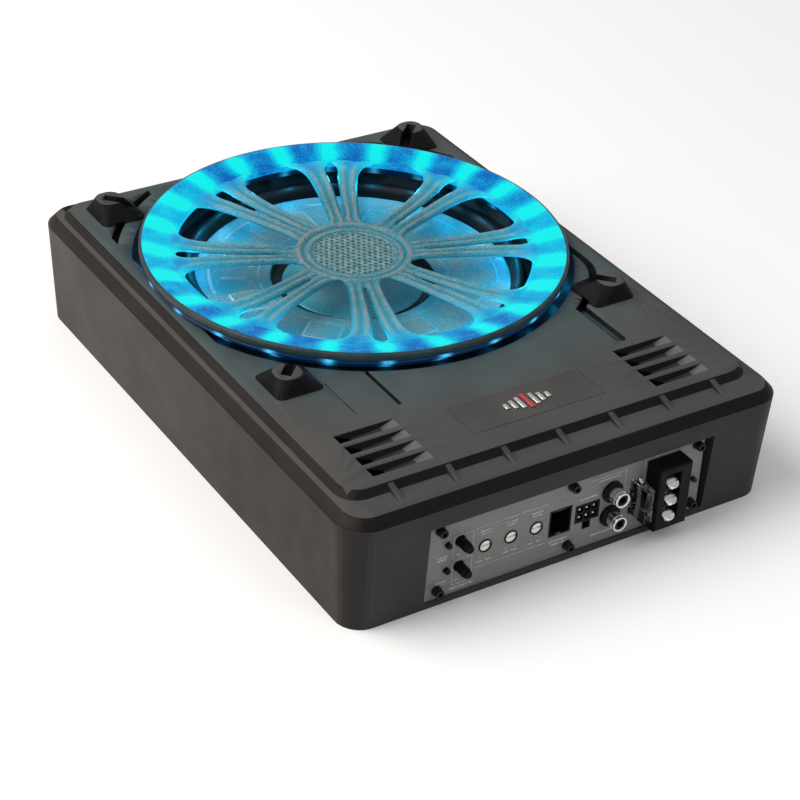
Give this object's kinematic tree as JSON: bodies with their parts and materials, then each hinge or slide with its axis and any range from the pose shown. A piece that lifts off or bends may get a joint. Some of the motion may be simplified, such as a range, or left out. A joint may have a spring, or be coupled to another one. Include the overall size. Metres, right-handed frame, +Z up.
{
  "type": "powered car subwoofer",
  "caption": "Flat under-seat powered subwoofer with a lit wheel-shaped grille over the driver, louvred deck and a recessed connector panel at one end.",
  "frame": {"origin": "middle of the underside of the case, on the base plate", "axes": "+Z up, terminal panel on the -Y end, +X to the right along the panel seen from outside"},
  "size_m": [0.25, 0.3395, 0.075],
  "materials": {
    "shell_plastic": "fine texture",
    "base_steel": "black powder coat",
    "zinc_steel": "zinc plated",
    "black_screw": "black oxide",
    "gasket_foam": "closed-cell foam",
    "basket_steel": "black paint",
    "ferrite": "dull",
    "motor_steel": "zinc plated",
    "former": "thin foil",
    "copper_wire": "enamelled copper",
    "spider_cloth": "resin cloth",
    "cone_metal": "satin",
    "surround_rubber": "matte",
    "bezel_plastic": "gloss black",
    "led_board": "white solder mask",
    "led_lens": "lit blue",
    "clear_wheel": "frosted clear plastic",
    "hub_plate": "tinted",
    "badge_plastic": "fine texture",
    "badge_metal": "brushed",
    "panel_metal": "grey anodised",
    "black_plastic": "satin",
    "lamp": "dark lens",
    "white_plastic": "satin",
    "gold_contact": "gold plated",
    "tin_pin": "tinned",
    "nickel": "nickel plated",
    "fuse_clear": "clear",
    "board": "green solder mask",
    "sink_aluminium": "extruded",
    "capacitor_sleeve": "sleeve",
    "toroid_wire": "enamelled copper",
    "felt": "felt",
    "lead_jacket": "flexible"
  },
  "bodies": {
    "case": {"top_shell": "shell_plastic", "base_plate": "base_steel", "base_screws": "black_screw", "bracket_nuts": "zinc_steel", "driver_gasket": "gasket_foam", "driver_basket": "basket_steel", "magnet_ring": "ferrite", "magnet_top_plate": "motor_steel", "pole_back_plate": "motor_steel", "spider": "spider_cloth", "surround": "surround_rubber", "driver_screws": "black_screw", "driver_terminal": "black_plastic", "grille_bezel": "bezel_plastic", "led_strip": "led_board", "led_chips": "led_lens", "bezel_screws": "black_screw", "wheel_grille": "clear_wheel", "hub_mesh": "hub_plate", "badge_plate": "badge_plastic", "badge_emblem": "badge_metal", "control_panel": "panel_metal", "panel_screws": "black_screw", "small_screws": "black_screw", "indicator_lamps": "lamp", "trimmer_bodies": "black_plastic", "switch_housings": "black_plastic", "remote_socket": "black_plastic", "remote_contacts": "gold_contact", "header_housing": "black_plastic", "header_pins": "tin_pin", "jack_collars": "black_plastic", "jack_barrels": "nickel", "jack_insulators": "black_plastic", "jack_block": "black_plastic", "fuse_holder": "black_plastic", "terminal_block": "black_plastic", "amp_board": "board", "board_standoffs": "zinc_steel", "heat_sink": "sink_aluminium", "output_transistors": "black_plastic", "filter_capacitors": "capacitor_sleeve", "transformer_toroid": "toroid_wire", "transformer_clamp": "zinc_steel", "damping_pad": "felt", "speaker_lead": "lead_jacket"},
    "cone_unit": {"cone": "cone_metal", "dust_cap": "cone_metal", "voice_coil_former": "former", "voice_coil": "copper_wire"},
    "trimmer_1": {"trimmer_shaft_1": "white_plastic"},
    "trimmer_2": {"trimmer_shaft_2": "white_plastic"},
    "trimmer_3": {"trimmer_shaft_3": "white_plastic"},
    "button_upper": {"push_button_upper": "black_plastic"},
    "button_lower": {"push_button_lower": "black_plastic"},
    "fuse": {"fuse_body": "fuse_clear", "fuse_blades": "zinc_steel"},
    "clamp_top": {"clamp_screw_top": "nickel"},
    "clamp_middle": {"clamp_screw_middle": "nickel"},
    "clamp_bottom": {"clamp_screw_bottom": "nickel"}
  },
  "joints": [
    {"name": "cone_travel", "type": "slide", "parent": "case", "child": "cone_unit", "axis": [0, 0, 1], "range_m": [-0.005, 0.005], "stiffness_N_per_m": 6000, "deforming": ["surround", "spider"]},
    {"name": "trimmer_turn_1", "type": "hinge", "parent": "case", "child": "trimmer_1", "pos_m": [-0.0483, -0.1615, 0.025], "axis": [0, -1, 0], "range_deg": [-140, 140]},
    {"name": "trimmer_turn_2", "type": "hinge", "parent": "case", "child": "trimmer_2", "pos_m": [-0.0338, -0.1615, 0.025], "axis": [0, -1, 0], "range_deg": [-140, 140]},
    {"name": "trimmer_turn_3", "type": "hinge", "parent": "case", "child": "trimmer_3", "pos_m": [-0.0193, -0.1615, 0.025], "axis": [0, -1, 0], "range_deg": [-140, 140]},
    {"name": "button_press_upper", "type": "slide", "parent": "case", "child": "button_upper", "axis": [0, 1, 0], "range_m": [0, 0.003], "stiffness_N_per_m": 300, "springref_m": -0.002},
    {"name": "button_press_lower", "type": "slide", "parent": "case", "child": "button_lower", "axis": [0, 1, 0], "range_m": [0, 0.003], "stiffness_N_per_m": 300, "springref_m": -0.002},
    {"name": "fuse_pull", "type": "slide", "parent": "case", "child": "fuse", "axis": [0, -1, 0], "range_m": [0, 0.022]},
    {"name": "clamp_turn_top", "type": "hinge", "parent": "case", "child": "clamp_top", "pos_m": [0.0533, -0.1708, 0.0335], "axis": [0, -0.5736, 0.8192], "range_deg": [-360, 360]},
    {"name": "clamp_turn_middle", "type": "hinge", "parent": "case", "child": "clamp_middle", "pos_m": [0.0533, -0.1708, 0.0239], "axis": [0, -0.5736, 0.8192], "range_deg": [-360, 360]},
    {"name": "clamp_turn_bottom", "type": "hinge", "parent": "case", "child": "clamp_bottom", "pos_m": [0.0533, -0.1708, 0.0143], "axis": [0, -0.5736, 0.8192], "range_deg": [-360, 360]}
  ]
}
